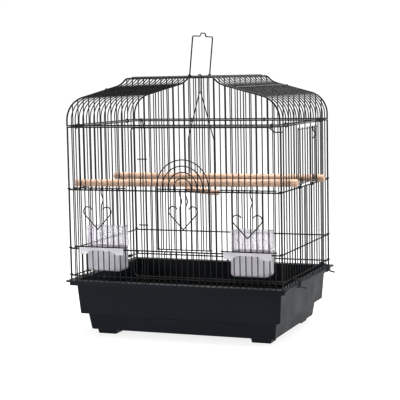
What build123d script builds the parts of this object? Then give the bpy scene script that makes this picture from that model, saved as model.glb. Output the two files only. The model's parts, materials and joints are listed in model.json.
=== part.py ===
from build123d import *
import math
import os

os.makedirs("parts", exist_ok=True)

# Knock-down wire bird cage on a moulded base with a pull-out tray.
# Millimetres. X is the width, -Y is the front, Z is up, and z = 0 is under the feet.

# ---- driving dimensions ----
BAR = 2.0                 # upright bar wire, diameter
RAIL = 2.6                # cross rail wire, diameter
FRAME = 3.2               # corner post and roof arch wire, diameter
WELD = 0.01               # space left between two wires that are welded side by side
FREE = 0.3                # clearance between a fixed wire and a moving one
BAR_R, RAIL_R, FRAME_R = BAR / 2, RAIL / 2, FRAME / 2

CAGE_W, CAGE_D = 450.0, 325.0          # between the outermost bars
FRONT_PITCHES, SIDE_PITCHES = 37, 19
FRONT_PITCH = CAGE_W / FRONT_PITCHES
SIDE_PITCH = CAGE_D / SIDE_PITCHES
HALF_W, HALF_D = CAGE_W / 2, CAGE_D / 2

RIM_TOP = 115.0
BOTTOM_Z = 125.2
LOW_Z = 180.3
MID_Z = 300.6
WALL_TOP_Z = 427.1
ROOF_BASE_Z = 430.4
CROWN_Z = 522.8
BAR_FOOT_Z = RIM_TOP + WELD            # the bars stand on the rim

# Rails lie on the inner side of the bars, so the doors can slide on the outer side.
RAIL_INSET = BAR_R + RAIL_R + WELD
RAIL_X, RAIL_Y = HALF_W - RAIL_INSET, HALF_D - RAIL_INSET
POST_OUT = RAIL_R + FRAME_R + WELD
POST_X, POST_Y = RAIL_X + POST_OUT, RAIL_Y + POST_OUT

WALL = 2.5                # thickness of the moulded plastic


def front_x(step):
    """X of a front or back bar, counted from the left corner post."""
    return -HALF_W + step * FRONT_PITCH


def side_y(step):
    """Y of a side bar, counted from the front corner post."""
    return -HALF_D + step * SIDE_PITCH


def bent_wire(points, radii, radius):
    """A round wire along straight runs joined by arcs."""
    with BuildPart() as wire:
        with BuildLine() as route:
            FilletPolyline(*points, radius=radii)
        with BuildSketch(Plane(origin=route.line @ 0, z_dir=route.line % 0)):
            Circle(radius)
        sweep()
    return wire.part


def uprights(spots, low, high, radius=BAR_R):
    """Straight upright bars at (x, y) spots."""
    with Locations(*[(x, y, low) for x, y in spots]):
        Cylinder(radius, high - low, align=(Align.CENTER, Align.CENTER, Align.MIN))


def bars_along_x(spots, left, right, radius=RAIL_R):
    """Straight wires along X at (y, z) spots."""
    with Locations(*[((left + right) / 2, y, z) for y, z in spots]):
        Cylinder(radius, right - left, rotation=(0, 90, 0))


def bars_along_y(spots, front, back, radius=RAIL_R):
    """Straight wires along Y at (x, z) spots."""
    with Locations(*[(x, (front + back) / 2, z) for x, z in spots]):
        Cylinder(radius, back - front, rotation=(90, 0, 0))


def save(part, name):
    """Label a finished piece and write it as its own file."""
    part.label = name
    export_step(part, "parts/" + name + ".step")


# ---- moulded base ----
RIM_X, RIM_Y = 235.8, 172.9            # outer edge of the rim flange
LIP_X, LIP_Y = 230.0, 167.0            # body of the lip under the flange
UPPER_TOP = (219.4, 155.2, 105.0)      # half width, half depth, height
UPPER_FOOT = (215.0, 151.0, 47.0)
LOWER_TOP = (203.8, 139.4, 47.0)
LOWER_FOOT = (198.2, 133.8, 10.0)
CORNER_R = 5.0
STEP_EDGE_R = 2.0                      # rounding under each step
RIM_EDGE_R = 0.8
FLANGE_Z = RIM_TOP - WALL
LEDGE_UNDER_Z = UPPER_FOOT[2] - WALL
DRAWER_FACE_Y = -130.6                 # the base is cut away in front of this plane
GRILLE_LEDGE_Z = 72.0
GRILLE_LEDGE = 7.0
FOOT_X, FOOT_Y = 167.3, 105.0
FOOT_TOP = (44.0, 41.0)
FOOT_TAPER = 14


def tapered_block(top, foot, inset=0.0, low=None, high=None):
    """A block with rounded corners between two half sizes, drawn in by inset."""
    low = foot[2] if low is None else low
    high = top[2] if high is None else high
    with BuildPart() as block:
        for z in (low, high):
            share = (z - foot[2]) / (top[2] - foot[2])
            half_x = foot[0] + share * (top[0] - foot[0]) - inset
            half_y = foot[1] + share * (top[1] - foot[1]) - inset
            with BuildSketch(Plane.XY.offset(z)):
                RectangleRounded(2 * half_x, 2 * half_y, CORNER_R - inset)
        loft()
    return block.part


upper_outside = tapered_block(UPPER_TOP, UPPER_FOOT, high=FLANGE_Z)
upper_inside = tapered_block(UPPER_TOP, UPPER_FOOT, WALL, high=RIM_TOP + 1)
lower_outside = tapered_block(LOWER_TOP, LOWER_FOOT)
lower_inside = tapered_block(LOWER_TOP, LOWER_FOOT, WALL, LOWER_FOOT[2] + WALL, LOWER_TOP[2] + 1)

with BuildPart() as base_tray:
    add(lower_outside)
    with BuildSketch(Plane.XY.offset(LEDGE_UNDER_Z)):
        RectangleRounded(2 * UPPER_FOOT[0], 2 * UPPER_FOOT[1], CORNER_R)
    extrude(amount=WALL)
    add(upper_outside)
    with BuildSketch(Plane.XY.offset(UPPER_TOP[2])):
        RectangleRounded(2 * LIP_X, 2 * LIP_Y, CORNER_R)
    extrude(amount=FLANGE_Z - UPPER_TOP[2])
    with BuildSketch(Plane.XY.offset(FLANGE_Z)):
        RectangleRounded(2 * RIM_X, 2 * RIM_Y, CORNER_R)
    extrude(amount=WALL)
    ledge_faces = base_tray.faces().filter_by_position(Axis.Z, LEDGE_UNDER_Z, LEDGE_UNDER_Z)
    fillet(ledge_faces[0].outer_wire().edges(), STEP_EDGE_R)
    fillet(base_tray.faces().sort_by(Axis.Z)[0].edges(), STEP_EDGE_R)
    fillet(base_tray.faces().sort_by(Axis.Z)[-1].outer_wire().edges(), RIM_EDGE_R)
    add(upper_inside, mode=Mode.SUBTRACT)
    add(lower_inside, mode=Mode.SUBTRACT)
    # Ledge that carries the wire floor.
    with BuildSketch(Plane.XY.offset(GRILLE_LEDGE_Z - WALL)):
        RectangleRounded(2 * (UPPER_FOOT[0] - 0.5), 2 * (UPPER_FOOT[1] - 0.5), CORNER_R)
        RectangleRounded(
            2 * (UPPER_FOOT[0] - GRILLE_LEDGE), 2 * (UPPER_FOOT[1] - GRILLE_LEDGE), 12, mode=Mode.SUBTRACT
        )
    extrude(amount=WALL)
    # Open front of the lower step, where the pull-out tray goes in.
    with Locations((0, DRAWER_FACE_Y, LEDGE_UNDER_Z)):
        Box(2 * LOWER_TOP[0] + 10, 30, 60, align=(Align.CENTER, Align.MAX, Align.MAX), mode=Mode.SUBTRACT)
save(base_tray.part, "base_tray")

with BuildPart() as base_feet:
    with BuildSketch(Plane.XY.offset(LOWER_FOOT[2] - WELD)):
        with GridLocations(2 * FOOT_X, 2 * FOOT_Y, 2, 2):
            RectangleRounded(FOOT_TOP[0], FOOT_TOP[1], 4)
    extrude(amount=WELD - LOWER_FOOT[2], taper=FOOT_TAPER)
save(base_feet.part, "base_feet")

# ---- pull-out tray ----
TRAY_GAP = 1.0
TRAY_HALF_X = LOWER_FOOT[0] - WALL - 2.0
TRAY_FLOOR_Z = LOWER_FOOT[2] + WALL + TRAY_GAP / 2
TRAY_TOP_Z = LEDGE_UNDER_Z - 3.0
TRAY_BACK_Y = LOWER_FOOT[1] - WALL - 2.0
FACE_GAP = 1.2                         # shadow gap between the tray's face and the base
RECESS_DEPTH = 3.0
RECESS_HALF_X = 61.0
RECESS_HIGH_Z = 39.5
LIP_PROUD, LIP_HIGH = 1.2, 2.0         # ridge along the top of the face

with BuildPart() as tray_face:
    add(lower_outside)
    fillet(tray_face.faces().sort_by(Axis.Z)[0].edges(), STEP_EDGE_R)
    with Locations((0, DRAWER_FACE_Y - FACE_GAP, 0)):
        Box(
            3 * LOWER_TOP[0],
            LOWER_TOP[1],
            2 * (LEDGE_UNDER_Z - FREE),
            align=(Align.CENTER, Align.MAX, Align.CENTER),
            mode=Mode.INTERSECT,
        )

with BuildPart() as pull_out_tray:
    with BuildSketch(Plane.XY.offset(TRAY_FLOOR_Z)):
        with Locations((0, (DRAWER_FACE_Y + TRAY_BACK_Y) / 2)):
            Rectangle(2 * TRAY_HALF_X, TRAY_BACK_Y - DRAWER_FACE_Y)
    extrude(amount=TRAY_TOP_Z - TRAY_FLOOR_Z)
    with BuildSketch(Plane.XY.offset(TRAY_FLOOR_Z + 2)):
        with Locations((0, (DRAWER_FACE_Y + TRAY_BACK_Y) / 2)):
            RectangleRounded(2 * (TRAY_HALF_X - 2), TRAY_BACK_Y - DRAWER_FACE_Y - 4, 10)
    extrude(amount=TRAY_TOP_Z, mode=Mode.SUBTRACT)
    add(tray_face.part)
    with Locations((0, DRAWER_FACE_Y, TRAY_FLOOR_Z)):
        Box(2 * TRAY_HALF_X, 4, TRAY_TOP_Z - TRAY_FLOOR_Z, align=(Align.CENTER, Align.CENTER, Align.MIN))
    # Ridge along the top of the face, and the finger recess under it.
    with Locations((0, -LOWER_TOP[1] - LIP_PROUD, LEDGE_UNDER_Z - FREE)):
        Box(
            2 * (LOWER_TOP[0] - CORNER_R),
            2 * LIP_PROUD,
            LIP_HIGH,
            align=(Align.CENTER, Align.MIN, Align.MAX),
        )
    with Locations((0, -LOWER_TOP[1] - LIP_PROUD, 0)):
        Box(
            2 * RECESS_HALF_X,
            RECESS_DEPTH + LIP_PROUD,
            RECESS_HIGH_Z,
            align=(Align.CENTER, Align.MIN, Align.MIN),
            mode=Mode.SUBTRACT,
        )
save(pull_out_tray.part, "pull_out_tray")

# ---- wire floor on its ledge ----
GRILLE_R = 1.5
GRILLE_X, GRILLE_Y = UPPER_FOOT[0] - 5.0, UPPER_FOOT[1] - 5.0
GRILLE_Z = GRILLE_LEDGE_Z + GRILLE_R + WELD
GRILLE_BARS = 33
FLOOR_BAR_Z = GRILLE_Z + GRILLE_R + BAR_R + WELD

with BuildPart() as floor_grille:
    bars_along_x([(-GRILLE_Y, GRILLE_Z), (0, GRILLE_Z), (GRILLE_Y, GRILLE_Z)], -GRILLE_X + 3, GRILLE_X - 3, GRILLE_R)
    bars_along_y([(-GRILLE_X, GRILLE_Z), (GRILLE_X, GRILLE_Z)], -GRILLE_Y + 3, GRILLE_Y - 3, GRILLE_R)
    with Locations((0, 0, FLOOR_BAR_Z)):
        with GridLocations(2 * (GRILLE_X - 6) / (GRILLE_BARS - 1), 1, GRILLE_BARS, 1):
            Cylinder(BAR_R, 2 * GRILLE_Y, rotation=(90, 0, 0))
save(floor_grille.part, "floor_grille")

# ---- four wall panels ----
# Door places in the front, in bar steps: first guide bar and last guide bar.
LEFT_DOOR, CENTRE_DOOR, RIGHT_DOOR = (1, 10), (16, 25), (27, 36)
SIDE_DOOR = (6, 14)
BAR_TOP_Z = WALL_TOP_Z + RAIL_R
RAIL_LEVELS = [BOTTOM_Z, LOW_Z, MID_Z, WALL_TOP_Z]


def inside_door(step):
    return any(first < step < last for first, last in (LEFT_DOOR, CENTRE_DOOR, RIGHT_DOOR))


front_steps = range(1, FRONT_PITCHES)
whole_steps = [step for step in front_steps if not inside_door(step)]
cut_steps = [step for step in front_steps if inside_door(step)]

with BuildPart() as front_panel:
    uprights([(front_x(s), -HALF_D) for s in whole_steps], BAR_FOOT_Z, BAR_TOP_Z)
    uprights([(front_x(s), -HALF_D) for s in cut_steps], BAR_FOOT_Z, LOW_Z + RAIL_R)
    uprights([(front_x(s), -HALF_D) for s in cut_steps], MID_Z - RAIL_R, BAR_TOP_Z)
    bars_along_x([(-RAIL_Y, z) for z in RAIL_LEVELS], -POST_X - 1, POST_X + 1)
save(front_panel.part, "front_panel")

with BuildPart() as back_panel:
    uprights([(front_x(s), HALF_D) for s in front_steps], BAR_FOOT_Z, BAR_TOP_Z)
    bars_along_x([(RAIL_Y, z) for z in RAIL_LEVELS], -POST_X - 1, POST_X + 1)
save(back_panel.part, "back_panel")

with BuildPart() as corner_posts:
    uprights([(x, y) for x in (-POST_X, POST_X) for y in (-POST_Y, POST_Y)], BAR_FOOT_Z, BAR_TOP_Z, FRAME_R)
save(corner_posts.part, "corner_posts")

side_steps = range(1, SIDE_PITCHES)
SIDE_RAIL_END = RAIL_Y - RAIL_R - WELD
side_door_steps = [step for step in side_steps if SIDE_DOOR[0] < step < SIDE_DOOR[1]]
side_whole_steps = [step for step in side_steps if step not in side_door_steps]

with BuildPart() as left_side_panel:
    uprights([(-HALF_W, side_y(s)) for s in side_steps], BAR_FOOT_Z, BAR_TOP_Z)
    bars_along_y([(-RAIL_X, z) for z in RAIL_LEVELS], -SIDE_RAIL_END, SIDE_RAIL_END)
save(left_side_panel.part, "left_side_panel")

with BuildPart() as right_side_panel:
    uprights([(HALF_W, side_y(s)) for s in side_whole_steps], BAR_FOOT_Z, BAR_TOP_Z)
    uprights([(HALF_W, side_y(s)) for s in side_door_steps], BAR_FOOT_Z, MID_Z + RAIL_R)
    bars_along_y([(RAIL_X, z) for z in RAIL_LEVELS], -SIDE_RAIL_END, SIDE_RAIL_END)
save(right_side_panel.part, "right_side_panel")

# Hooked ends of the side rails, closed round the corner posts just above each front rail.
HOOK_R = 1.1
HOOK_TURN = FRAME_R + HOOK_R + WELD
HOOK_LIFT = RAIL_R + HOOK_R + WELD
hook_levels = [z + HOOK_LIFT for z in (BOTTOM_Z, LOW_Z, MID_Z)]

with BuildPart() as corner_hooks:
    with Locations(*[(x, y, z) for x in (-POST_X, POST_X) for y in (-POST_Y, POST_Y) for z in hook_levels]):
        Torus(HOOK_TURN, HOOK_R)
save(corner_hooks.part, "corner_hooks")

# Heavier border wire of the large right-hand section of the front, with eyes round the corner post.
BORDER_R = 1.1
BORDER_Y = -HALF_D - BAR_R - BORDER_R - WELD
BORDER_LEFT_X = -84.3
BORDER_LOW_Z, BORDER_TOP_Z = 130.7, 426.0
BORDER_CORNER_R = 8.0
EYE_DROP = 9.0                         # the top run drops this far before it reaches the post
POST_EYE_TURN = FRAME_R + BORDER_R + FREE
border_points = [
    (POST_X - POST_EYE_TURN, -POST_Y, BORDER_LOW_Z),
    (POST_X - POST_EYE_TURN - 6, BORDER_Y, BORDER_LOW_Z),
    (BORDER_LEFT_X, BORDER_Y, BORDER_LOW_Z),
    (BORDER_LEFT_X, BORDER_Y, BORDER_TOP_Z),
    (POST_X - 22, BORDER_Y, BORDER_TOP_Z),
    (POST_X - 12, BORDER_Y, BORDER_TOP_Z - EYE_DROP),
    (POST_X - POST_EYE_TURN, -POST_Y, BORDER_TOP_Z - EYE_DROP),
]
border_wire = bent_wire(border_points, [4.0, BORDER_CORNER_R, BORDER_CORNER_R, 6.0, 4.0], BORDER_R)

with BuildPart() as front_border_wire:
    add(border_wire)
    with Locations((POST_X, -POST_Y, BORDER_LOW_Z), (POST_X, -POST_Y, BORDER_TOP_Z - EYE_DROP)):
        Torus(POST_EYE_TURN, BORDER_R)
save(front_border_wire.part, "front_border_wire")

# Upright rod of the front, hooked over the top rails, and the two clips that tie it to its neighbours.
ROD_X = -61.3
ROD_HOOK_HALF = RAIL_R + BAR_R + FREE  # from the top rails to the inner leg of the hook
CLIP_Y = -HALF_D - 2 * BAR_R - WELD
rod_points = [
    (ROD_X, -HALF_D, BAR_FOOT_Z),
    (ROD_X, -HALF_D, WALL_TOP_Z - 12),
    (ROD_X - 2.2, -HALF_D, ROOF_BASE_Z + 13),
    (ROD_X - 1.5, -RAIL_Y + ROD_HOOK_HALF, ROOF_BASE_Z + 13),
    (ROD_X + 2.8, -RAIL_Y + ROD_HOOK_HALF, WALL_TOP_Z - 4),
]
rod_wire = bent_wire(rod_points, [8.0, 2.2, 2.2], BAR_R)

with BuildPart() as front_seam_rod:
    add(rod_wire)
save(front_seam_rod.part, "front_seam_rod")

with BuildPart() as seam_clips:
    bars_along_x([(CLIP_Y, 233), (CLIP_Y, 364)], front_x(12.6), front_x(14.3), BAR_R)
save(seam_clips.part, "seam_clips")

# ---- roof ----
SLOPE = math.tan(math.radians(15.4))
SHOULDER_TOP_Z = 476.6                 # where the slope would meet the side wall
OGEE_FOOT = (103.96, SHOULDER_TOP_Z + SLOPE * (HALF_W - 103.96))
OGEE_TOP_X = OGEE_FOOT[0] - (CROWN_Z - OGEE_FOOT[1])
SHOULDER_R, OGEE_LOW_R, OGEE_HIGH_R = 48.0, 35.0, 10.0
CUT_X = 150.0                          # the slope is cut here between shoulder and ogee
CROWN_CUT_X = 70.0
CUT_GAP = 0.01
ROOF_FOOT_Z = ROOF_BASE_Z - RAIL_R


def slope_z(x):
    return SHOULDER_TOP_Z + SLOPE * (HALF_W - x)


def swept_wire(route, radius):
    """A round wire along a route of lines and arcs."""
    with BuildPart() as wire:
        with BuildSketch(Plane(origin=route @ 0, z_dir=route % 0)):
            Circle(radius)
        sweep(path=route)
    return wire.part


def roof_shoulder(radius):
    """Foot, round shoulder and start of the slope of one roof wire, cut at the middle of its arc."""
    turn = 90 - math.degrees(math.atan(SLOPE))
    centre = (HALF_W - SHOULDER_R, SHOULDER_TOP_Z - SHOULDER_R * math.tan(math.radians(turn / 2)))
    gap = math.degrees(CUT_GAP / SHOULDER_R)
    with BuildLine(Plane.XZ) as lower:
        Line((HALF_W, ROOF_FOOT_Z), (HALF_W, centre[1]))
        CenterArc(centre, SHOULDER_R, 0, turn / 2 - gap)
    with BuildLine(Plane.XZ) as upper:
        arc = CenterArc(centre, SHOULDER_R, turn / 2 + gap, turn / 2 - gap)
        Line(arc @ 1, (CUT_X + CUT_GAP, slope_z(CUT_X + CUT_GAP)))
    return [swept_wire(lower.wire(), radius), swept_wire(upper.wire(), radius)]


def roof_ogee(radius):
    """Slope and double curve of one roof wire, up to the flat crown, on the right."""
    points = [
        (CUT_X - CUT_GAP, 0, slope_z(CUT_X - CUT_GAP)),
        (OGEE_FOOT[0], 0, OGEE_FOOT[1]),
        (OGEE_TOP_X, 0, CROWN_Z),
        (CROWN_CUT_X + CUT_GAP, 0, CROWN_Z),
    ]
    return bent_wire(points, [OGEE_LOW_R, OGEE_HIGH_R], radius)


def roof_side_pieces(radius):
    right = roof_shoulder(radius) + [roof_ogee(radius)]
    return right + [mirror(piece, about=Plane.YZ) for piece in right]


ARCH_Y = HALF_D + BAR_R + FRAME_R + WELD
wire_pieces = roof_side_pieces(BAR_R)
arch_pieces = roof_side_pieces(FRAME_R)
roof_spots = [(0, side_y(s), 0) for s in side_steps]

with BuildPart() as roof_wires:
    with Locations(*roof_spots):
        add(wire_pieces)
    bars_along_x([(side_y(s), CROWN_Z) for s in side_steps], -CROWN_CUT_X, CROWN_CUT_X, BAR_R)
save(roof_wires.part, "roof_wires")

with BuildPart() as roof_front_arch:
    with Locations((0, -ARCH_Y, 0)):
        add(arch_pieces)
    bars_along_x([(-ARCH_Y, CROWN_Z)], -CROWN_CUT_X, CROWN_CUT_X, FRAME_R)
save(roof_front_arch.part, "roof_front_arch")

with BuildPart() as roof_back_arch:
    with Locations((0, ARCH_Y, 0)):
        add(arch_pieces)
    bars_along_x([(ARCH_Y, CROWN_Z)], -CROWN_CUT_X, CROWN_CUT_X, FRAME_R)
save(roof_back_arch.part, "roof_back_arch")


def roof_z(x):
    """Height of the roof line over a front bar."""
    x = abs(x)
    if x < OGEE_TOP_X:
        return CROWN_Z
    if x < OGEE_FOOT[0]:
        return CROWN_Z - (x - OGEE_TOP_X)
    shoulder_x = HALF_W - SHOULDER_R
    if x < shoulder_x:
        return slope_z(x)
    drop = SHOULDER_R * math.tan(math.radians((90 - 15.4) / 2))
    centre_z = SHOULDER_TOP_Z - drop
    return min(slope_z(x), centre_z + math.sqrt(SHOULDER_R**2 - (x - shoulder_x) ** 2))


with BuildPart() as front_gable_bars:
    for step in front_steps:
        uprights([(front_x(step), -HALF_D)], ROOF_FOOT_Z, roof_z(front_x(step)))
save(front_gable_bars.part, "front_gable_bars")

with BuildPart() as back_gable_bars:
    for step in front_steps:
        uprights([(front_x(step), HALF_D)], ROOF_FOOT_Z, roof_z(front_x(step)))
save(back_gable_bars.part, "back_gable_bars")

with BuildPart() as roof_base_rails:
    bars_along_x([(-RAIL_Y, ROOF_BASE_Z), (RAIL_Y, ROOF_BASE_Z)], -POST_X + 1, POST_X - 1)
    bars_along_y([(-RAIL_X, ROOF_BASE_Z), (RAIL_X, ROOF_BASE_Z)], -SIDE_RAIL_END, SIDE_RAIL_END)
save(roof_base_rails.part, "roof_base_rails")

# Cross wires on top of the roof wires. The handle turns on the middle one.
CROSS_LIFT = BAR_R + RAIL_R + WELD
CROSS_X = 137.0
CROSS_TILT = math.atan(SLOPE)
SLOPE_CROSS = (CROSS_X + CROSS_LIFT * math.sin(CROSS_TILT), slope_z(CROSS_X) + CROSS_LIFT * math.cos(CROSS_TILT))
CROWN_CROSS_Z = CROWN_Z + CROSS_LIFT
CROWN_CROSS_X = 79.0
CROSS_END = ARCH_Y - FRAME_R - WELD

with BuildPart() as roof_cross_wires:
    bars_along_y(
        [
            (-SLOPE_CROSS[0], SLOPE_CROSS[1]),
            (-CROWN_CROSS_X, CROWN_CROSS_Z),
            (0, CROWN_CROSS_Z),
            (CROWN_CROSS_X, CROWN_CROSS_Z),
            (SLOPE_CROSS[0], SLOPE_CROSS[1]),
        ],
        -CROSS_END,
        CROSS_END,
    )
save(roof_cross_wires.part, "roof_cross_wires")

# Small rings that clip the roof to the wall panels, round both rails.
CLIP_WIRE_R = 0.9
CLIP_TURN = (ROOF_BASE_Z - WALL_TOP_Z) / 2 + RAIL_R + CLIP_WIRE_R + 0.1
CLIP_Z = (ROOF_BASE_Z + WALL_TOP_Z) / 2
front_clip_spots = [(step, -RAIL_Y) for step in (1.5, 35.5)]
back_clip_spots = [(step, RAIL_Y) for step in (1.5, 11.5, 25.5, 35.5)]
side_clip_steps = (2.5, 16.5)

with BuildPart() as roof_clips:
    with Locations(*[(front_x(s), y, CLIP_Z) for s, y in front_clip_spots + back_clip_spots]):
        Torus(CLIP_TURN, CLIP_WIRE_R, rotation=(0, 90, 0))
    with Locations(*[(x, side_y(s), CLIP_Z) for s in side_clip_steps for x in (-RAIL_X, RAIL_X)]):
        Torus(CLIP_TURN, CLIP_WIRE_R, rotation=(90, 0, 0))
save(roof_clips.part, "roof_clips")

# ---- sliding front doors ----
EYE_TURN = 2 * BAR_R + FREE            # centre line of a loop round a guide bar
CROSS_Y = -HALF_D - EYE_TURN           # cross wires of a door
DOOR_BAR_Y = CROSS_Y - 2 * BAR_R - WELD
HEART_Y = DOOR_BAR_Y - 2 * BAR_R - WELD
DOOR_LOW_Z = LOW_Z + RAIL_R + 4.0
DOOR_HIGH_Z = MID_Z + RAIL_R + 3.0
DOOR_FOOT_Z = DOOR_LOW_Z - BAR_R
LOOP_TURN = 300.0                      # degrees of each loop round its guide bar


def looped_cross_wire(first, last, z):
    """A cross wire whose two ends are closed round the guide bars."""
    loop_end = math.radians(270 - LOOP_TURN)
    end_x = front_x(first) + EYE_TURN * math.cos(loop_end)
    end_y = -HALF_D + EYE_TURN * math.sin(loop_end)
    with BuildPart() as wire:
        with BuildLine(Plane.XY.offset(z)) as route:
            Line((front_x(first), CROSS_Y), (front_x(last), CROSS_Y))
            CenterArc((front_x(first), -HALF_D), EYE_TURN, 270, -LOOP_TURN)
            CenterArc((front_x(last), -HALF_D), EYE_TURN, 270, LOOP_TURN)
        with BuildSketch(Plane(origin=(end_x, end_y, z), z_dir=(-math.sin(loop_end), math.cos(loop_end), 0))):
            Circle(BAR_R)
        sweep(path=route.wire())
    return wire.part


HEART_HALF_W, LOBE_R, LOBE_Z, LOBE_TURN = 30.5, 9.5, 36.0, 155.0


def heart_wire(centre_x, tip_z):
    """An open heart: two straight sides from the tip, each ending in a hooked lobe."""
    lobe_x = HEART_HALF_W - LOBE_R
    reach = math.hypot(lobe_x, LOBE_Z)
    side = math.sqrt(reach**2 - LOBE_R**2)
    side_angle = math.atan2(LOBE_Z, lobe_x) - math.asin(LOBE_R / reach)
    lobe_start = math.degrees(side_angle) - 90
    with BuildPart() as half:
        with BuildLine(Plane.XZ.offset(-HEART_Y)) as route:
            Line((0, tip_z), (side * math.cos(side_angle), tip_z + side * math.sin(side_angle)))
            CenterArc((lobe_x, tip_z + LOBE_Z), LOBE_R, lobe_start, LOBE_TURN - lobe_start)
        with BuildSketch(Plane(origin=(0, HEART_Y, tip_z), z_dir=(math.cos(side_angle), 0, math.sin(side_angle)))):
            Circle(BAR_R)
        sweep(path=route.wire())
    halves = [half.part, mirror(half.part, about=Plane.YZ)]
    with BuildPart() as heart:
        with Locations((0, HEART_Y, tip_z)):
            Sphere(BAR_R)
        add(halves)
    return Location((centre_x, 0, 0)) * heart.part


BUMP_LOW_Z, BUMP_MID_Z, BUMP_HIGH_Z, BUMP = 270.0, 282.0, 295.0, 4.5


def bumped_bar(x):
    """A door bar with a sideways finger bump near its top."""
    points = [
        (x, DOOR_BAR_Y, DOOR_FOOT_Z),
        (x, DOOR_BAR_Y, BUMP_LOW_Z),
        (x + BUMP, DOOR_BAR_Y, BUMP_MID_Z),
        (x, DOOR_BAR_Y, BUMP_HIGH_Z),
        (x, DOOR_BAR_Y, DOOR_HIGH_Z + BAR_R),
    ]
    return bent_wire(points, [8.0, 8.0, 8.0], BAR_R)


def feeder_door_bars(first, last, bumped):
    straight = [s for s in range(first + 1, last) if s != bumped]
    catch_bar = bumped_bar(front_x(bumped))
    with BuildPart() as bars:
        uprights([(front_x(s), DOOR_BAR_Y) for s in straight], DOOR_FOOT_Z, DOOR_HIGH_Z + BAR_R)
        add(catch_bar)
    return bars.part


def door_cross_wires(first, last):
    pair = [looped_cross_wire(first, last, z) for z in (DOOR_LOW_Z, DOOR_HIGH_Z)]
    with BuildPart() as wires:
        add(pair)
    return wires.part


save(feeder_door_bars(*LEFT_DOOR, 6), "left_feeder_door_bars")
save(door_cross_wires(*LEFT_DOOR), "left_feeder_door_cross_wires")
save(heart_wire(front_x(5.3), 222.0), "left_feeder_door_heart")
save(feeder_door_bars(*RIGHT_DOOR, 32), "right_feeder_door_bars")
save(door_cross_wires(*RIGHT_DOOR), "right_feeder_door_cross_wires")
save(heart_wire(front_x(31.5), 212.5), "right_feeder_door_heart")

# The centre door carries a fan of four arches over its top cross wire.
FAN_STEPS = ((16, 25), (17, 24), (18, 23), (19, 22))
FAN_X = front_x(sum(CENTRE_DOOR) / 2)
FAN_Z = MID_Z + 8.0


def fan_quarter(radius):
    """The right-hand quarter of one arch of the fan."""
    gap = math.degrees(CUT_GAP / radius)
    with BuildPart() as quarter:
        with BuildLine(Plane.XZ.offset(-DOOR_BAR_Y)) as route:
            CenterArc((FAN_X, FAN_Z), radius, gap, 90 - 2 * gap)
        with BuildSketch(Plane(origin=route.line @ 0, z_dir=route.line % 0)):
            Circle(BAR_R)
        sweep()
    return quarter.part


fan_plane = Plane.YZ.offset(FAN_X)
quarters = [fan_quarter(front_x(last) - FAN_X) for _, last in FAN_STEPS]
quarters += [mirror(quarter, about=fan_plane) for quarter in quarters]

with BuildPart() as front_door_fan:
    add(quarters)
save(front_door_fan.part, "front_door_fan")

leg_steps = [step for pair in FAN_STEPS for step in pair]
bumped_steps = (20, 21)

bumped_bars = [bumped_bar(front_x(s)) for s in bumped_steps]

with BuildPart() as front_door_bars:
    uprights([(front_x(s), DOOR_BAR_Y) for s in leg_steps], DOOR_FOOT_Z, FAN_Z - CUT_GAP)
    add(bumped_bars)
save(front_door_bars.part, "front_door_bars")
save(door_cross_wires(*CENTRE_DOOR), "front_door_cross_wires")
save(heart_wire(front_x(20.6), 226.5), "front_door_heart")

# ---- hinged side door ----
SIDE_BAR_X = HALF_W + 2 * BAR_R + FREE
SIDE_CROSS_X = SIDE_BAR_X + 2 * BAR_R + WELD
SIDE_DOOR_LOW_Z, SIDE_DOOR_HIGH_Z = MID_Z + 6.0, 420.0
SIDE_END_INSET = 4.5
HINGE_TURN = RAIL_R + BAR_R + FREE
side_door_y = [side_y(s) for s in side_door_steps]
side_door_y += [side_y(SIDE_DOOR[0]) + SIDE_END_INSET, side_y(SIDE_DOOR[1]) - SIDE_END_INSET]
SIDE_DOOR_FRONT, SIDE_DOOR_BACK = min(side_door_y), max(side_door_y)

with BuildPart() as side_door_bars:
    uprights([(SIDE_BAR_X, y) for y in side_door_y], SIDE_DOOR_LOW_Z, SIDE_DOOR_HIGH_Z)
save(side_door_bars.part, "side_door_bars")

with BuildPart() as side_door_cross_wires:
    cross_levels = (SIDE_DOOR_LOW_Z + 3, SIDE_DOOR_HIGH_Z - 3)
    bars_along_y([(SIDE_CROSS_X, z) for z in cross_levels], SIDE_DOOR_FRONT - 2, SIDE_DOOR_BACK + 2, BAR_R)
save(side_door_cross_wires.part, "side_door_cross_wires")


def hinge_eye(y):
    """A loop round the side rail with a short strut up to the door."""
    points = [
        (RAIL_X + HINGE_TURN, y, MID_Z),
        (RAIL_X + HINGE_TURN, y, MID_Z + 3.5),
        (SIDE_BAR_X, y, SIDE_DOOR_LOW_Z + 1.5),
        (SIDE_BAR_X, y, SIDE_DOOR_LOW_Z + 14),
    ]
    strut = bent_wire(points, 1.5, BAR_R)
    with BuildPart() as eye:
        add(strut)
        with Locations((RAIL_X, y, MID_Z)):
            Torus(HINGE_TURN, BAR_R, rotation=(90, 0, 0))
    return eye.part


hinge_eyes = [hinge_eye(side_y(step)) for step in (7.5, 12.5)]

with BuildPart() as side_door_hinge_eyes:
    add(hinge_eyes)
save(side_door_hinge_eyes.part, "side_door_hinge_eyes")

CATCH_Y = side_y(11.5)
CATCH_X = SIDE_CROSS_X + 2 * BAR_R + WELD
catch_points = [
    (CATCH_X, CATCH_Y, SIDE_DOOR_HIGH_Z),
    (CATCH_X, CATCH_Y, SIDE_DOOR_HIGH_Z - 8),
    (CATCH_X + 7, CATCH_Y, SIDE_DOOR_HIGH_Z - 16),
    (CATCH_X, CATCH_Y, SIDE_DOOR_HIGH_Z - 25),
]
catch_wire = bent_wire(catch_points, 2.5, BAR_R)

with BuildPart() as side_door_catch:
    add(catch_wire)
save(side_door_catch.part, "side_door_catch")

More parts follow.
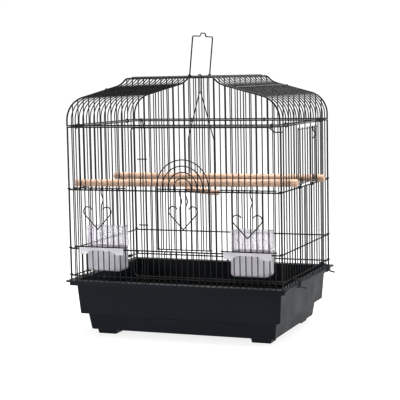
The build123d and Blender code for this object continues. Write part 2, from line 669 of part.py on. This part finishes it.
# ---- feeder cups and hoods ----
CUP_X = 156.0
CUP_HALF_W = 40.0
CUP_FRONT_Y, CUP_BACK_Y = -157.5, -115.0
CUP_CORNER_R, CUP_FLOOR_R = 10.0, 7.0
CUP_FLOOR_Z, CUP_TOP_Z = 135.0, 184.4
CUP_WALL = 1.8
LIP_GAP = 0.5
HOOK_HALF_W = 49.0
HOOK_OUT_Y = -HALF_D - BAR_R - LIP_GAP
HOOK_THICK = 1.8
HOOK_FOOT_Z = 170.5
HOOK_THIN_Z = 178.0
HOOK_FOOT_W, HOOK_SLOPE_W = 16.0, 12.0   # full-depth end of the flange, then its slope
HOOD_TOP_Z = 226.5
HOOD_SETBACK = 13.0
HOOD_BOTTOM_DEPTH, HOOD_TOP_DEPTH = 27.0, 19.5


def feeder_cup(centre_x):
    """A seed cup inside the wires, hung by a bracket-shaped flange over the low rail."""
    mid_y = (CUP_FRONT_Y + CUP_BACK_Y) / 2
    depth = CUP_BACK_Y - CUP_FRONT_Y
    with BuildPart() as cup:
        with Locations((centre_x, mid_y, CUP_FLOOR_Z)):
            Box(2 * CUP_HALF_W, depth, CUP_TOP_Z - CUP_FLOOR_Z, align=(Align.CENTER, Align.CENTER, Align.MIN))
        fillet(cup.edges().filter_by(Axis.Z), CUP_CORNER_R)
        fillet(cup.faces().sort_by(Axis.Z)[0].edges(), CUP_FLOOR_R)
        top = cup.faces().sort_by(Axis.Z)[-1]
        offset(amount=-CUP_WALL, openings=top, mode=Mode.REPLACE)
        with Locations((centre_x, HOOK_OUT_Y - HOOK_THICK, CUP_TOP_Z)):
            Box(
                2 * (CUP_HALF_W - CUP_CORNER_R),
                CUP_FRONT_Y + 1 - (HOOK_OUT_Y - HOOK_THICK),
                HOOK_THICK,
                align=(Align.CENTER, Align.MIN, Align.MAX),
            )
        with BuildSketch(Plane.XZ.offset(-HOOK_OUT_Y)):
            with BuildLine():
                Polyline(
                    (centre_x - HOOK_HALF_W, CUP_TOP_Z),
                    (centre_x - HOOK_HALF_W, HOOK_FOOT_Z),
                    (centre_x - HOOK_HALF_W + HOOK_FOOT_W, HOOK_FOOT_Z),
                    (centre_x - HOOK_HALF_W + HOOK_FOOT_W + HOOK_SLOPE_W, HOOK_THIN_Z),
                    (centre_x + HOOK_HALF_W - HOOK_FOOT_W - HOOK_SLOPE_W, HOOK_THIN_Z),
                    (centre_x + HOOK_HALF_W - HOOK_FOOT_W, HOOK_FOOT_Z),
                    (centre_x + HOOK_HALF_W, HOOK_FOOT_Z),
                    (centre_x + HOOK_HALF_W, CUP_TOP_Z),
                    close=True,
                )
            make_face()
        extrude(amount=HOOK_THICK)
    return cup.part


def feeder_hood(centre_x):
    """A cover that stands on the cup, open at the back, with slanted rear edges."""
    low, front = CUP_TOP_Z + WELD, CUP_FRONT_Y + HOOD_SETBACK
    back_low, back_high = front + HOOD_BOTTOM_DEPTH, front + HOOD_TOP_DEPTH
    with BuildPart() as hood:
        with BuildSketch(Plane.YZ.offset(centre_x - CUP_HALF_W)):
            with BuildLine():
                Polyline(
                    (front, low), (back_low, low), (back_high, HOOD_TOP_Z), (front, HOOD_TOP_Z), close=True
                )
            make_face()
        extrude(amount=2 * CUP_HALF_W)
        with Locations((centre_x, front + CUP_WALL, HOOD_TOP_Z - CUP_WALL)):
            Box(
                2 * (CUP_HALF_W - CUP_WALL),
                2 * HOOD_BOTTOM_DEPTH,
                2 * (HOOD_TOP_Z - low),
                align=(Align.CENTER, Align.MIN, Align.MAX),
                mode=Mode.SUBTRACT,
            )
    return hood.part


save(feeder_cup(-CUP_X), "left_feeder_cup")
save(feeder_cup(CUP_X), "right_feeder_cup")
save(feeder_hood(-CUP_X), "left_feeder_hood")
save(feeder_hood(CUP_X), "right_feeder_hood")

# ---- perches ----
PERCH_R = 7.4
PERCH_LENGTH = 480.0
FRONT_PERCH_LEAN = 0.75
FRONT_PERCH_Z = MID_Z + RAIL_R + PERCH_R + WELD + HALF_W * math.sin(math.radians(FRONT_PERCH_LEAN)) + 0.05
REAR_PERCH_Z = MID_Z + RAIL_R + PERCH_R + WELD

with BuildPart() as front_perch:
    with Locations((0, side_y(3.5), FRONT_PERCH_Z)):
        Cylinder(PERCH_R, PERCH_LENGTH, rotation=(0, 90 - FRONT_PERCH_LEAN, 0))
    chamfer(front_perch.edges().filter_by(GeomType.CIRCLE), 0.8)
save(front_perch.part, "front_perch")

with BuildPart() as rear_perch:
    with Locations((0, side_y(14.5), REAR_PERCH_Z)):
        Cylinder(PERCH_R, PERCH_LENGTH, rotation=(0, 90, 0))
    chamfer(rear_perch.edges().filter_by(GeomType.CIRCLE), 0.8)
save(rear_perch.part, "rear_perch")

# ---- swing ----
SWING_R = 1.0
SWING_TURN = -32.5                     # the swing hangs turned about the upright axis
SWING_EYE_TURN = RAIL_R + SWING_R + 1.0
SWING_APEX_Z, SWING_KINK_Z, SWING_BAR_Z = 497.0, 395.0, 287.0
SWING_HALF = 45.0
SWING_BAR_R, SWING_BAR_LENGTH = 6.0, 110.0
swing_dir = (math.cos(math.radians(SWING_TURN)), math.sin(math.radians(SWING_TURN)))


def on_swing(along, z):
    return (along * swing_dir[0], along * swing_dir[1], z)


swing_points = [
    on_swing(-SWING_HALF, SWING_BAR_Z + SWING_BAR_R + 3),
    on_swing(-SWING_HALF, SWING_KINK_Z),
    on_swing(0, SWING_APEX_Z),
    on_swing(SWING_HALF, SWING_KINK_Z),
    on_swing(SWING_HALF, SWING_BAR_Z + SWING_BAR_R + 3),
]
swing_arms = bent_wire(swing_points, [8.0, 3.0, 8.0], SWING_R)
eye_low_z = CROWN_CROSS_Z - SWING_EYE_TURN

with BuildPart() as swing_frame:
    add(swing_arms)
    with Locations((0, 0, CROWN_CROSS_Z)):
        Torus(SWING_EYE_TURN, SWING_R, rotation=(90, 0, 0))
    uprights([(0, 0)], SWING_APEX_Z - 6, eye_low_z, SWING_R)
    uprights([on_swing(-SWING_HALF, 0)[:2], on_swing(SWING_HALF, 0)[:2]], SWING_BAR_Z, SWING_BAR_Z + 9.5, SWING_R)
save(swing_frame.part, "swing_frame")

with BuildPart() as swing_bar:
    with BuildSketch(Plane(origin=on_swing(-SWING_BAR_LENGTH / 2, SWING_BAR_Z), z_dir=(*swing_dir, 0))):
        Circle(SWING_BAR_R)
    extrude(amount=SWING_BAR_LENGTH)
    chamfer(swing_bar.edges().filter_by(GeomType.CIRCLE), 0.8)
    with Locations(on_swing(-SWING_HALF, SWING_BAR_Z - SWING_R), on_swing(SWING_HALF, SWING_BAR_Z - SWING_R)):
        Cylinder(SWING_R + WELD, 20, align=(Align.CENTER, Align.CENTER, Align.MIN), mode=Mode.SUBTRACT)
save(swing_bar.part, "swing_bar")

# ---- carrying handle ----
HANDLE_R = 1.25
HANDLE_HALF = 56.5
HANDLE_RISE = 81.5
HANDLE_PEAK, HANDLE_PEAK_HALF = 6.5, 17.0
HANDLE_EYE_TURN = RAIL_R + HANDLE_R + 0.25
HANDLE_LEAN = 6.0
handle_top = CROWN_CROSS_Z + HANDLE_RISE
handle_points = [
    (0, -HANDLE_HALF, CROWN_CROSS_Z + HANDLE_EYE_TURN),
    (0, -HANDLE_HALF, handle_top),
    (0, -HANDLE_PEAK_HALF, handle_top),
    (0, -HANDLE_PEAK_HALF + 6, handle_top + HANDLE_PEAK),
    (0, HANDLE_PEAK_HALF - 6, handle_top + HANDLE_PEAK),
    (0, HANDLE_PEAK_HALF, handle_top),
    (0, HANDLE_HALF, handle_top),
    (0, HANDLE_HALF, CROWN_CROSS_Z + HANDLE_EYE_TURN),
]
handle_bow = bent_wire(handle_points, [4.5, 3, 3, 3, 3, 4.5], HANDLE_R)

with BuildPart() as upright_handle:
    add(handle_bow)
    with Locations((0, -HANDLE_HALF, CROWN_CROSS_Z), (0, HANDLE_HALF, CROWN_CROSS_Z)):
        Torus(HANDLE_EYE_TURN, HANDLE_R, rotation=(90, 0, 0))

leaning_handle = upright_handle.part.rotate(Axis((0, 0, CROWN_CROSS_Z), (0, 1, 0)), HANDLE_LEAN)

with BuildPart() as carry_handle:
    add(leaning_handle)
save(carry_handle.part, "carry_handle")

# ---- base latches ----
LATCH_HALF = 4.5
LATCH_TURN = RAIL_R + BAR_R + FREE
LATCH_OUT_X = RIM_X + BAR_R + FREE
LATCH_HOOK_X = 233.4
LATCH_CLEAR = 2.9                      # room for the hook to swing out under the rim's corner
LATCH_HOOK_Z = FLANGE_Z - BAR_R - LATCH_CLEAR
TAB_X, TAB_Z = 250.5, 107.0


def latch(side, y):
    """A wire bail: eyes round the bottom rail, a hook under the rim and a finger tab."""
    bail_points = [
        (side * (RAIL_X + LATCH_TURN), y - LATCH_HALF, BOTTOM_Z),
        (side * LATCH_OUT_X, y - LATCH_HALF, RIM_TOP + 5),
        (side * LATCH_OUT_X, y - LATCH_HALF, LATCH_HOOK_Z),
        (side * LATCH_HOOK_X, y - LATCH_HALF, LATCH_HOOK_Z),
        (side * LATCH_HOOK_X, y + LATCH_HALF, LATCH_HOOK_Z),
        (side * LATCH_OUT_X, y + LATCH_HALF, LATCH_HOOK_Z),
        (side * LATCH_OUT_X, y + LATCH_HALF, RIM_TOP + 5),
        (side * (RAIL_X + LATCH_TURN), y + LATCH_HALF, BOTTOM_Z),
    ]
    tab_half = LATCH_HALF - 2 * BAR_R - WELD
    tab_points = [
        (side * (LATCH_OUT_X - 1), y - tab_half, LATCH_HOOK_Z + 2),
        (side * TAB_X, y - tab_half, TAB_Z),
        (side * TAB_X, y + tab_half, TAB_Z),
        (side * (LATCH_OUT_X - 1), y + tab_half, LATCH_HOOK_Z + 2),
    ]
    bail = bent_wire(bail_points, [2, 1.5, 1.5, 1.5, 1.5, 2], BAR_R)
    tab = bent_wire(tab_points, 1.2, BAR_R)
    with BuildPart() as piece:
        add(bail)
        with Locations((side * RAIL_X, y - LATCH_HALF, BOTTOM_Z), (side * RAIL_X, y + LATCH_HALF, BOTTOM_Z)):
            Torus(LATCH_TURN, BAR_R, rotation=(90, 0, 0))
        add(tab)
    return piece.part


latch_places = {
    "front_right_latch": (1, side_y(4.5)),
    "rear_right_latch": (1, side_y(16.5)),
    "front_left_latch": (-1, side_y(4.5)),
    "rear_left_latch": (-1, side_y(16.5)),
}
for latch_name, (side, place_y) in latch_places.items():
    save(latch(side, place_y), latch_name)
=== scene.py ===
import bpy
import json
import math
from mathutils import Matrix, Vector


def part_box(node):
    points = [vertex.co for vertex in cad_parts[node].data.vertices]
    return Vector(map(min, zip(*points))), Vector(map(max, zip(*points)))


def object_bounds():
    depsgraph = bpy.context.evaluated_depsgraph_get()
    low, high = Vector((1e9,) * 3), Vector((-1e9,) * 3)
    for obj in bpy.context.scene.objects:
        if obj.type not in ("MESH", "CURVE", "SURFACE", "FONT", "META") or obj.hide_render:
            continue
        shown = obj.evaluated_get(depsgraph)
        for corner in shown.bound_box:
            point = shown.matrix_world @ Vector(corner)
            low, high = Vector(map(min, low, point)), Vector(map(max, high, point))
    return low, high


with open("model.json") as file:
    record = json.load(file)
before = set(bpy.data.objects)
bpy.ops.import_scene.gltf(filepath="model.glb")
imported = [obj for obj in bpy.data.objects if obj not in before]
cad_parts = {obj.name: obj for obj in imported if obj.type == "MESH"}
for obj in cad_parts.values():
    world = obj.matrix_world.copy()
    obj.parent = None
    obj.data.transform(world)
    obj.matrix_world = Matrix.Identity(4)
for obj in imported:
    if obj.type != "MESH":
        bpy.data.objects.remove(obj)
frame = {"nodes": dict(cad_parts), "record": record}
cad_low, cad_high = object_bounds()

# ---- camera: a long lens, right of the front and level with the roof's crown, tilted down ----
YAW, PITCH, ROLL = 0.375, 0.100, -0.019
LENS_MM, SENSOR_MM = 112.9, 36.0
CLIP_START, CLIP_END = 0.05, 50.0
CAMERA_X, CAMERA_Y, CAMERA_ABOVE_CROWN = 0.9502, -2.426, 0.0063
ARCH_WIRE_R = 0.0016

# ---- stage, lights and view ----
STAGE_HALF_WIDTH, STAGE_FRONT, STAGE_BACK = 12.0, -9.0, 9.0
STAGE_BEND_R, STAGE_BEND_STEPS, STAGE_HEIGHT = 3.0, 24, 9.0
FLOOR_GREY, FLOOR_GLOW = 0.20, 0.86
WORLD_STRENGTH = 0.6
BASE_AIM_Z = 0.08
VIEW_GAMMA = 0.75  # darkens the mid-tones, so thin black wires keep their weight against white

# ---- sockets of the Mix node in its colour mode, which share their names with the other modes ----
MIX_FACTOR, MIX_FIRST_COLOUR, MIX_SECOND_COLOUR, MIX_RESULT = 0, 6, 7, 2


def set_camera():
    forward = Vector((-math.sin(YAW) * math.cos(PITCH), math.cos(YAW) * math.cos(PITCH), -math.sin(PITCH)))
    level_right = Vector((math.cos(YAW), math.sin(YAW), 0.0))
    level_up = level_right.cross(forward)
    right = math.cos(ROLL) * level_right + math.sin(ROLL) * level_up
    up = -math.sin(ROLL) * level_right + math.cos(ROLL) * level_up
    crown_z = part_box("roof_front_arch")[1].z - ARCH_WIRE_R
    place = Vector((CAMERA_X, CAMERA_Y, crown_z + CAMERA_ABOVE_CROWN))
    data = bpy.data.cameras.new("camera")
    data.lens, data.sensor_width = LENS_MM, SENSOR_MM
    data.clip_start, data.clip_end = CLIP_START, CLIP_END
    camera = bpy.data.objects.new("camera", data)
    bpy.context.scene.collection.objects.link(camera)
    camera.matrix_world = Matrix((
        (right.x, up.x, -forward.x, place.x),
        (right.y, up.y, -forward.y, place.y),
        (right.z, up.z, -forward.z, place.z),
        (0.0, 0.0, 0.0, 1.0),
    ))
    bpy.context.scene.camera = camera


# ---- material helpers ----
class Shader:
    """A Principled material with short helpers for its node tree."""

    def __init__(self, name, **values):
        """Sets each value on the Principled socket of that name, with spaces for underscores."""
        self.material = bpy.data.materials.new(name)
        self.material.use_nodes = True
        self.tree = self.material.node_tree
        self.surface = self.tree.nodes["Principled BSDF"]
        for socket, value in values.items():
            self.surface.inputs[socket.replace("_", " ")].default_value = value
        self.coords = self.tree.nodes.new("ShaderNodeTexCoord").outputs["Object"]

    def node(self, kind, inputs=None, **settings):
        """A new node. An input that is another node's output is linked, and any other is set."""
        made = self.tree.nodes.new("ShaderNode" + kind)
        for key, value in settings.items():
            setattr(made, key, value)
        for key, value in (inputs or {}).items():
            if isinstance(value, bpy.types.NodeSocket):
                self.tree.links.new(value, made.inputs[key])
            else:
                made.inputs[key].default_value = value
        return made

    def noise(self, scale, detail=4.0, stretch=(1, 1, 1), distortion=0.0):
        """Noise in object coordinates. A large stretch packs it more finely along that axis."""
        placed = self.node("Mapping", {"Vector": self.coords, "Scale": stretch}).outputs["Vector"]
        inputs = {"Vector": placed, "Scale": scale, "Detail": detail, "Distortion": distortion}
        return self.node("TexNoise", inputs).outputs["Fac"]

    def ramp(self, factor, stops):
        """Colours by factor, from stops of position and colour."""
        made = self.node("ValToRGB", {"Fac": factor})
        elements = made.color_ramp.elements
        while len(elements) < len(stops):
            elements.new(0.5)
        for element, (position, colour) in zip(elements, stops):
            element.position = position
            element.color = colour
        return made.outputs["Color"]

    def mix(self, factor, first_colour, second_colour):
        """The first colour at factor 0, the second at factor 1."""
        inputs = {MIX_FACTOR: factor, MIX_FIRST_COLOUR: first_colour, MIX_SECOND_COLOUR: second_colour}
        return self.node("Mix", inputs, data_type="RGBA").outputs[MIX_RESULT]

    def spread(self, factor, low, high, source_low=0.3, source_high=0.7):
        """The factor's source range stretched to run from low to high."""
        inputs = {
            "Value": factor,
            "From Min": source_low,
            "From Max": source_high,
            "To Min": low,
            "To Max": high,
        }
        return self.node("MapRange", inputs).outputs["Result"]

    def link(self, output, socket):
        self.tree.links.new(output, self.surface.inputs[socket])

    def bump(self, height, strength, distance):
        made = self.node("Bump", {"Height": height, "Strength": strength, "Distance": distance})
        self.link(made.outputs["Normal"], "Normal")


def rgb(r, g, b):
    return (r, g, b, 1.0)


# ---- materials ----
def coated_wire():
    """Steel wire under a thick, glossy black dip coat."""
    shader = Shader("black_wire_coat", IOR=1.4, Specular_IOR_Level=0.7)
    patches = shader.noise(scale=60.0, detail=3.0)
    dark, light = rgb(0.0040, 0.0041, 0.0046), rgb(0.0080, 0.0082, 0.0092)
    shader.link(shader.ramp(patches, [(0.3, dark), (0.75, light)]), "Base Color")
    shader.link(shader.spread(shader.noise(scale=140.0), low=0.22, high=0.42), "Roughness")
    shader.bump(shader.noise(scale=900.0, detail=2.0), strength=0.12, distance=0.0003)
    return shader.material


def moulded_black():
    """Injection-moulded black plastic with a fine spark texture and faint flow marks."""
    shader = Shader("moulded_black_plastic", IOR=1.45, Specular_IOR_Level=0.30)
    flow = shader.noise(scale=5.0, detail=3.0, stretch=(1.0, 1.0, 2.5), distortion=0.6)
    dark, light = rgb(0.0070, 0.0115, 0.0175), rgb(0.0105, 0.0155, 0.0225)
    shader.link(shader.ramp(flow, [(0.3, dark), (0.7, light)]), "Base Color")
    smudges = shader.noise(scale=18.0, detail=5.0)
    shader.link(shader.spread(smudges, low=0.34, high=0.46), "Roughness")
    grain = shader.node("TexVoronoi", {"Vector": shader.coords, "Scale": 1100.0}).outputs["Distance"]
    shader.bump(grain, strength=0.10, distance=0.0002)
    return shader.material


def milky_plastic(name, milkiness, clearness, roughness):
    """Thin polypropylene, white with a lavender cast. The clearer it is, the smoother its surface."""
    shader = Shader(
        name,
        IOR=1.49,
        Subsurface_Weight=milkiness,
        Subsurface_Scale=0.006,
        Subsurface_Radius=(1.0, 0.92, 1.0),
        Transmission_Weight=clearness,
    )
    clouds = shader.noise(scale=22.0, detail=3.0)
    dull, bright = rgb(0.91, 0.885, 0.95), rgb(0.96, 0.94, 0.985)
    shader.link(shader.ramp(clouds, [(0.25, dull), (0.75, bright)]), "Base Color")
    scuffs = shader.noise(scale=90.0, detail=3.0)
    shader.link(shader.spread(scuffs, low=roughness, high=roughness + 0.12), "Roughness")
    shader.bump(shader.noise(scale=420.0, detail=2.0), strength=0.12 * (1.0 - clearness), distance=0.0003)
    return shader.material


def beech_dowel():
    """Sanded beech with long fibres and short, darker flecks along the dowel."""
    shader = Shader("beech_dowel", IOR=1.45)
    fibres = shader.noise(scale=30.0, detail=6.0, stretch=(1.6, 30.0, 30.0), distortion=0.4)
    wood = shader.ramp(
        fibres,
        [
            (0.20, rgb(0.50, 0.32, 0.22)),
            (0.45, rgb(0.66, 0.47, 0.36)),
            (0.62, rgb(0.74, 0.56, 0.45)),
            (0.85, rgb(0.84, 0.68, 0.57)),
        ],
    )
    flecks = shader.noise(scale=55.0, detail=2.0, stretch=(3.0, 26.0, 26.0))
    fleck_mask = shader.spread(flecks, low=0.0, high=0.55, source_low=0.62, source_high=0.70)
    shader.link(shader.mix(fleck_mask, wood, rgb(0.48, 0.28, 0.17)), "Base Color")
    shader.link(shader.spread(fibres, low=0.48, high=0.66), "Roughness")
    shader.bump(fibres, strength=0.22, distance=0.0005)
    return shader.material


SLOT_MATERIALS = {
    "black_wire": coated_wire(),
    "black_plastic": moulded_black(),
    "cup_plastic": milky_plastic("milky_cup_plastic", milkiness=0.25, clearness=0.5, roughness=0.30),
    "perch_wood": beech_dowel(),
}
hood_plastic = milky_plastic("clear_hood_plastic", milkiness=0.1, clearness=0.86, roughness=0.04)
NODE_MATERIALS = {"left_feeder_hood": hood_plastic, "right_feeder_hood": hood_plastic}
node_slots = {part["node"]: part["material_slot"] for part in frame["record"]["subparts"]}

for node_name, cad_object in frame["nodes"].items():
    cad_object.data.materials.clear()
    material = NODE_MATERIALS.get(node_name, SLOT_MATERIALS[node_slots[node_name]])
    cad_object.data.materials.append(material)


# ---- studio ----
def add_stage():
    """A wide pale floor with a glow of its own, which curves up into a backdrop far behind."""
    bend_start = STAGE_BACK - STAGE_BEND_R
    profile = [(STAGE_FRONT, 0.0), (bend_start, 0.0)]
    for step in range(1, STAGE_BEND_STEPS + 1):
        angle = math.pi / 2 * step / STAGE_BEND_STEPS
        y = bend_start + STAGE_BEND_R * math.sin(angle)
        z = STAGE_BEND_R - STAGE_BEND_R * math.cos(angle)
        profile.append((y, z))
    profile.append((STAGE_BACK, STAGE_HEIGHT))
    sides = (-STAGE_HALF_WIDTH, STAGE_HALF_WIDTH)
    vertices = [(x, y, cad_low.z + z) for y, z in profile for x in sides]
    faces = [(2 * i, 2 * i + 1, 2 * i + 3, 2 * i + 2) for i in range(len(profile) - 1)]
    mesh = bpy.data.meshes.new("floor")
    mesh.from_pydata(vertices, [], faces)
    for polygon in mesh.polygons:
        polygon.use_smooth = True
    floor = bpy.data.objects.new("floor", mesh)
    bpy.context.scene.collection.objects.link(floor)
    shader = Shader(
        "pale_floor",
        Base_Color=rgb(FLOOR_GREY, FLOOR_GREY, FLOOR_GREY),
        Roughness=0.85,
        Emission_Color=rgb(1.0, 1.0, 1.0),
        Emission_Strength=FLOOR_GLOW,
    )
    mesh.materials.append(shader.material)


def add_light(name, place, target, size, watts):
    """A rectangular area light that faces its target."""
    data = bpy.data.lights.new(name, "AREA")
    data.shape = "RECTANGLE"
    data.size, data.size_y = size
    data.energy = watts
    light = bpy.data.objects.new(name, data)
    bpy.context.scene.collection.objects.link(light)
    light.location = place
    light.rotation_mode = "QUATERNION"
    light.rotation_quaternion = (Vector(target) - Vector(place)).to_track_quat("-Z", "Y")


def add_lights():
    world = bpy.data.worlds.new("studio")
    world.use_nodes = True
    background = world.node_tree.nodes["Background"]
    background.inputs["Color"].default_value = rgb(1.0, 1.0, 1.0)
    background.inputs["Strength"].default_value = WORLD_STRENGTH
    bpy.context.scene.world = world
    centre = (cad_low + cad_high) / 2
    base_corner = (cad_low.x, cad_low.y, BASE_AIM_Z)
    add_light("back_right", place=(1.7, 2.6, 1.3), target=centre, size=(2.4, 2.0), watts=30.0)
    add_light("front_left", place=(-1.3, -1.9, 0.3), target=base_corner, size=(1.0, 0.8), watts=13.0)
    add_light("top", place=(0.2, 0.1, 2.4), target=centre, size=(1.6, 1.6), watts=85.0)


set_camera()
add_stage()
add_lights()
bpy.context.scene.view_settings.view_transform = "Standard"
bpy.context.scene.view_settings.gamma = VIEW_GAMMA
